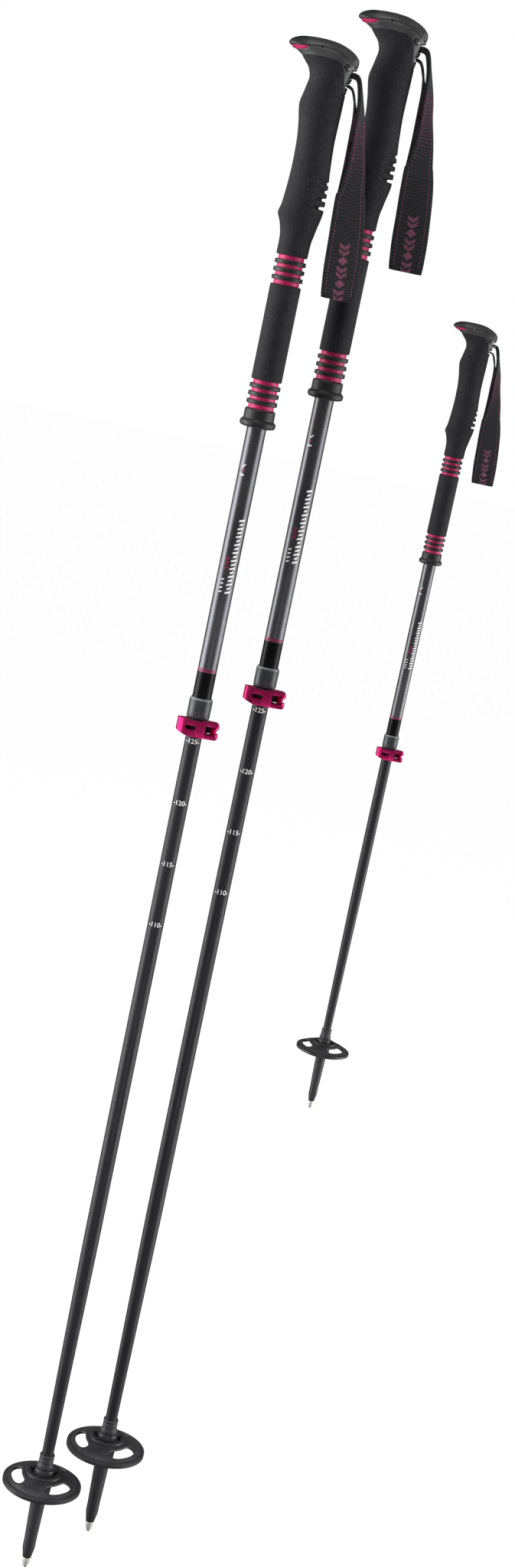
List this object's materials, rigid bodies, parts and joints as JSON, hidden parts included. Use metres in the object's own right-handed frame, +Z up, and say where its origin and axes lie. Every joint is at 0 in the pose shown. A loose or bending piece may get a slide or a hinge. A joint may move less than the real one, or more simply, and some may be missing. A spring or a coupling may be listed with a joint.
{
  "type": "trekking pole set",
  "caption": "Telescopic trekking poles with foam grips, lever locks, wrist straps and trail baskets, standing upright.",
  "frame": {"origin": "the carbide tip of the front pole, on its axis", "axes": "+Z up along the shafts, +X from the nose of the handles to the wrist straps, +Y to the back of the set"},
  "size_m": [0.2167, 0.09, 1.2805],
  "materials": {
    "ferrule_steel": "satin steel ferrule with a dark carbide insert",
    "tip_plastic": "moulded charcoal plastic with a fine grain",
    "basket_plastic": "moulded charcoal plastic with a fine grain",
    "carbon": "near-black wrapped carbon under clear lacquer",
    "plug_plastic": "natural grey plastic",
    "shaft_aluminium": "dark grey metallic anodised tube",
    "sleeve_plastic": "dark grey moulded plastic",
    "anodised_pink": "bright magenta anodised metal",
    "bolt_steel": "satin steel",
    "foam": "closed-cell foam with a fine pore",
    "pink_rubber": "pink soft rubber",
    "rib_rubber": "black soft rubber",
    "shell_plastic": "mid-grey moulded plastic",
    "cap_plastic": "dark grey soft-touch plastic",
    "webbing": "black ribbed webbing with mauve stitching and woven blocks"
  },
  "bodies": {
    "front_lower": {"front_tip_point": "ferrule_steel", "front_tip_body": "tip_plastic", "front_lower_shaft": "carbon", "front_guide_plug": "plug_plastic"},
    "front_basket_body": {"front_basket": "basket_plastic"},
    "front_upper": {"front_upper_shaft": "shaft_aluminium", "front_clamp_sleeve": "sleeve_plastic", "front_clamp_band": "sleeve_plastic", "front_clamp_bolt": "bolt_steel", "front_grip_foam": "foam", "front_extension_foam": "foam", "front_accent_rings": "pink_rubber", "front_foam_rings": "rib_rubber", "front_end_collar": "rib_rubber", "front_head_shell": "shell_plastic", "front_head_cap": "cap_plastic", "front_nose_insert": "pink_rubber", "front_strap_pin": "bolt_steel"},
    "front_lever": {"front_lock_lever": "anodised_pink"},
    "front_strap": {"front_wrist_strap": "webbing"},
    "rear_lower": {"rear_tip_point": "ferrule_steel", "rear_tip_body": "tip_plastic", "rear_lower_shaft": "carbon", "rear_guide_plug": "plug_plastic"},
    "rear_basket_body": {"rear_basket": "basket_plastic"},
    "rear_upper": {"rear_upper_shaft": "shaft_aluminium", "rear_clamp_sleeve": "sleeve_plastic", "rear_clamp_band": "sleeve_plastic", "rear_clamp_bolt": "bolt_steel", "rear_grip_foam": "foam", "rear_extension_foam": "foam", "rear_accent_rings": "pink_rubber", "rear_foam_rings": "rib_rubber", "rear_end_collar": "rib_rubber", "rear_head_shell": "shell_plastic", "rear_head_cap": "cap_plastic", "rear_nose_insert": "pink_rubber", "rear_strap_pin": "bolt_steel"},
    "rear_lever": {"rear_lock_lever": "anodised_pink"},
    "rear_strap": {"rear_wrist_strap": "webbing"},
    "short_lower": {"short_tip_point": "ferrule_steel", "short_tip_body": "tip_plastic", "short_lower_shaft": "carbon", "short_guide_plug": "plug_plastic"},
    "short_basket_body": {"short_basket": "basket_plastic"},
    "short_upper": {"short_upper_shaft": "shaft_aluminium", "short_clamp_sleeve": "sleeve_plastic", "short_clamp_band": "sleeve_plastic", "short_clamp_bolt": "bolt_steel", "short_grip_foam": "foam", "short_extension_foam": "foam", "short_accent_rings": "pink_rubber", "short_foam_rings": "rib_rubber", "short_end_collar": "rib_rubber", "short_head_shell": "shell_plastic", "short_head_cap": "cap_plastic", "short_nose_insert": "pink_rubber", "short_strap_pin": "bolt_steel"},
    "short_lever": {"short_lock_lever": "anodised_pink"},
    "short_strap": {"short_wrist_strap": "webbing"}
  },
  "joints": [
    {"name": "front_telescope", "type": "slide", "parent": "front_lower", "child": "front_upper", "axis": [0, 0, -1], "range_m": [0, 0.35]},
    {"name": "front_lock", "type": "hinge", "parent": "front_upper", "child": "front_lever", "pos_m": [0.014, -0.0086, 0.7308], "axis": [0, 0, 1], "range_deg": [0, 150]},
    {"name": "front_strap_swing", "type": "hinge", "parent": "front_upper", "child": "front_strap", "pos_m": [0.019, 0, 1.229], "axis": [0, -1, 0], "range_deg": [0, 30]},
    {"name": "front_basket_turn", "type": "hinge", "parent": "front_lower", "child": "front_basket_body", "pos_m": [0, 0, 0.08], "axis": [0, 0, 1], "range_deg": [0, 180]},
    {"name": "rear_lift", "type": "slide", "parent": "front_lower", "child": "rear_lower", "axis": [0, 0, 1], "range_m": [0, 0.25]},
    {"name": "rear_telescope", "type": "slide", "parent": "rear_lower", "child": "rear_upper", "axis": [0, 0, -1], "range_m": [0, 0.35]},
    {"name": "rear_lock", "type": "hinge", "parent": "rear_upper", "child": "rear_lever", "pos_m": [0.0595, 0.0154, 0.7613], "axis": [0, 0, 1], "range_deg": [0, 150]},
    {"name": "rear_strap_swing", "type": "hinge", "parent": "rear_upper", "child": "rear_strap", "pos_m": [0.0645, 0.024, 1.2595], "axis": [0, -1, 0], "range_deg": [0, 30]},
    {"name": "rear_basket_turn", "type": "hinge", "parent": "rear_lower", "child": "rear_basket_body", "pos_m": [0.0455, 0.024, 0.1105], "axis": [0, 0, 1], "range_deg": [0, 180]},
    {"name": "short_lift", "type": "slide", "parent": "front_lower", "child": "short_lower", "axis": [0, 0, 1], "range_m": [0, 0.25]},
    {"name": "short_telescope", "type": "slide", "parent": "short_lower", "child": "short_upper", "axis": [0, 0, -1], "range_m": [-0.1728, 0.0512]},
    {"name": "short_lock", "type": "hinge", "parent": "short_upper", "child": "short_lever", "pos_m": [0.15896, -0.0055, 0.74091], "axis": [0, 0, 1], "range_deg": [0, 150]},
    {"name": "short_strap_swing", "type": "hinge", "parent": "short_upper", "child": "short_strap", "pos_m": [0.16216, 0, 1.05976], "axis": [0, -1, 0], "range_deg": [0, 30]},
    {"name": "short_basket_turn", "type": "hinge", "parent": "short_lower", "child": "short_basket_body", "pos_m": [0.15, 0, 0.4972], "axis": [0, 0, 1], "range_deg": [0, 180]}
  ]
}
